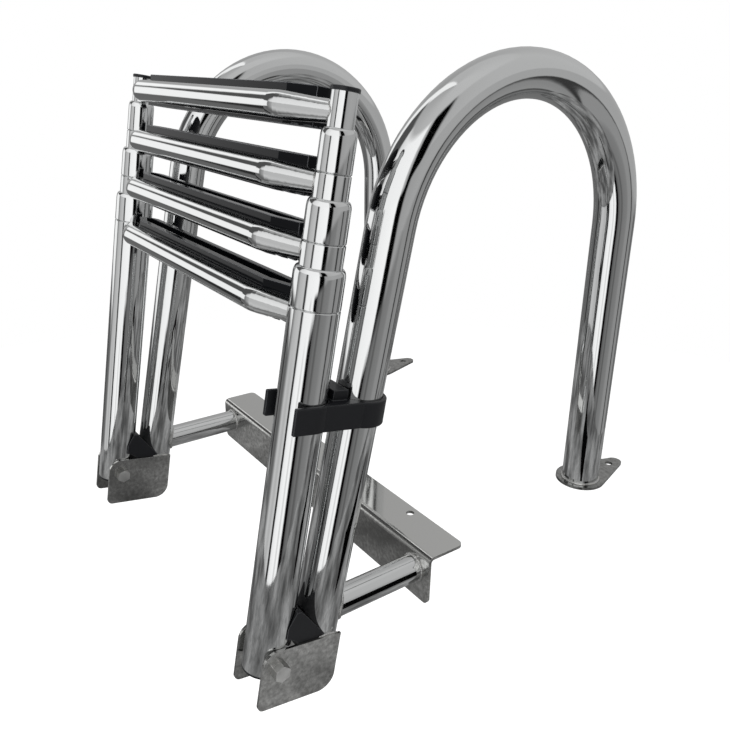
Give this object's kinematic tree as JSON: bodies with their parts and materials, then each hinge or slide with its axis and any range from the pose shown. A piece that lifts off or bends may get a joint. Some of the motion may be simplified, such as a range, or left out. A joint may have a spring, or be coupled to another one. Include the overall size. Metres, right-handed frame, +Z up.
{
  "type": "boat ladder",
  "caption": "Folding telescoping stainless boarding ladder with wide treads, hooped handrails and a deck angle, stowed upright against its handrails.",
  "frame": {"origin": "middle of the deck angle's underside, the face that lies on the deck", "axes": "+X to starboard along the rungs, +Y inboard over the deck, +Z up"},
  "size_m": [0.4273, 0.4725, 0.5098],
  "materials": {
    "polished_steel": "mirror polished stainless steel",
    "satin_steel": "tumbled stainless steel sheet",
    "tread_plastic": "black moulded plastic",
    "clip_plastic": "black satin plastic",
    "guide_nylon": "natural nylon"
  },
  "bodies": {
    "frame": {"deck_angle": "satin_steel", "stowing_clip": "clip_plastic", "handrail_port": "polished_steel", "handrail_starboard": "polished_steel", "rear_flange_port": "satin_steel", "rear_flange_starboard": "satin_steel", "standoff_port": "polished_steel", "standoff_starboard": "polished_steel", "bracket_outer_cheek_port": "satin_steel", "bracket_outer_cheek_starboard": "satin_steel", "bracket_inner_cheek_port": "satin_steel", "bracket_inner_cheek_starboard": "satin_steel", "pivot_bolt_port": "polished_steel", "pivot_bolt_starboard": "polished_steel", "filler_block_port": "clip_plastic", "filler_block_starboard": "clip_plastic"},
    "section_1": {"rail_1_port": "polished_steel", "rail_1_starboard": "polished_steel", "rail_plug_port": "tread_plastic", "rail_plug_starboard": "tread_plastic", "collar_1_port": "polished_steel", "collar_1_starboard": "polished_steel", "rung_1": "polished_steel", "tread_1": "tread_plastic"},
    "section_2": {"rail_2_port": "polished_steel", "rail_2_starboard": "polished_steel", "collar_2_port": "polished_steel", "collar_2_starboard": "polished_steel", "guides_2": "guide_nylon", "rung_2": "polished_steel", "tread_2": "tread_plastic"},
    "section_3": {"rail_3_port": "polished_steel", "rail_3_starboard": "polished_steel", "collar_3_port": "polished_steel", "collar_3_starboard": "polished_steel", "guides_3": "guide_nylon", "rung_3": "polished_steel", "tread_3": "tread_plastic"},
    "section_4": {"rail_4_port": "polished_steel", "rail_4_starboard": "polished_steel", "rail_cap_port": "tread_plastic", "rail_cap_starboard": "tread_plastic", "guides_4": "guide_nylon", "rung_4": "polished_steel", "tread_4": "tread_plastic"}
  },
  "joints": [
    {"name": "fold", "type": "hinge", "parent": "frame", "child": "section_1", "pos_m": [0, -0.1755, -0.0386], "axis": [1, 0, 0], "range_deg": [0, 180]},
    {"name": "slide_2", "type": "slide", "parent": "section_1", "child": "section_2", "axis": [0, 0.1702, 0.9854], "range_m": [0, 0.21]},
    {"name": "slide_3", "type": "slide", "parent": "section_2", "child": "section_3", "axis": [0, 0.1702, 0.9854], "range_m": [0, 0.21]},
    {"name": "slide_4", "type": "slide", "parent": "section_3", "child": "section_4", "axis": [0, 0.1702, 0.9854], "range_m": [0, 0.21]}
  ]
}
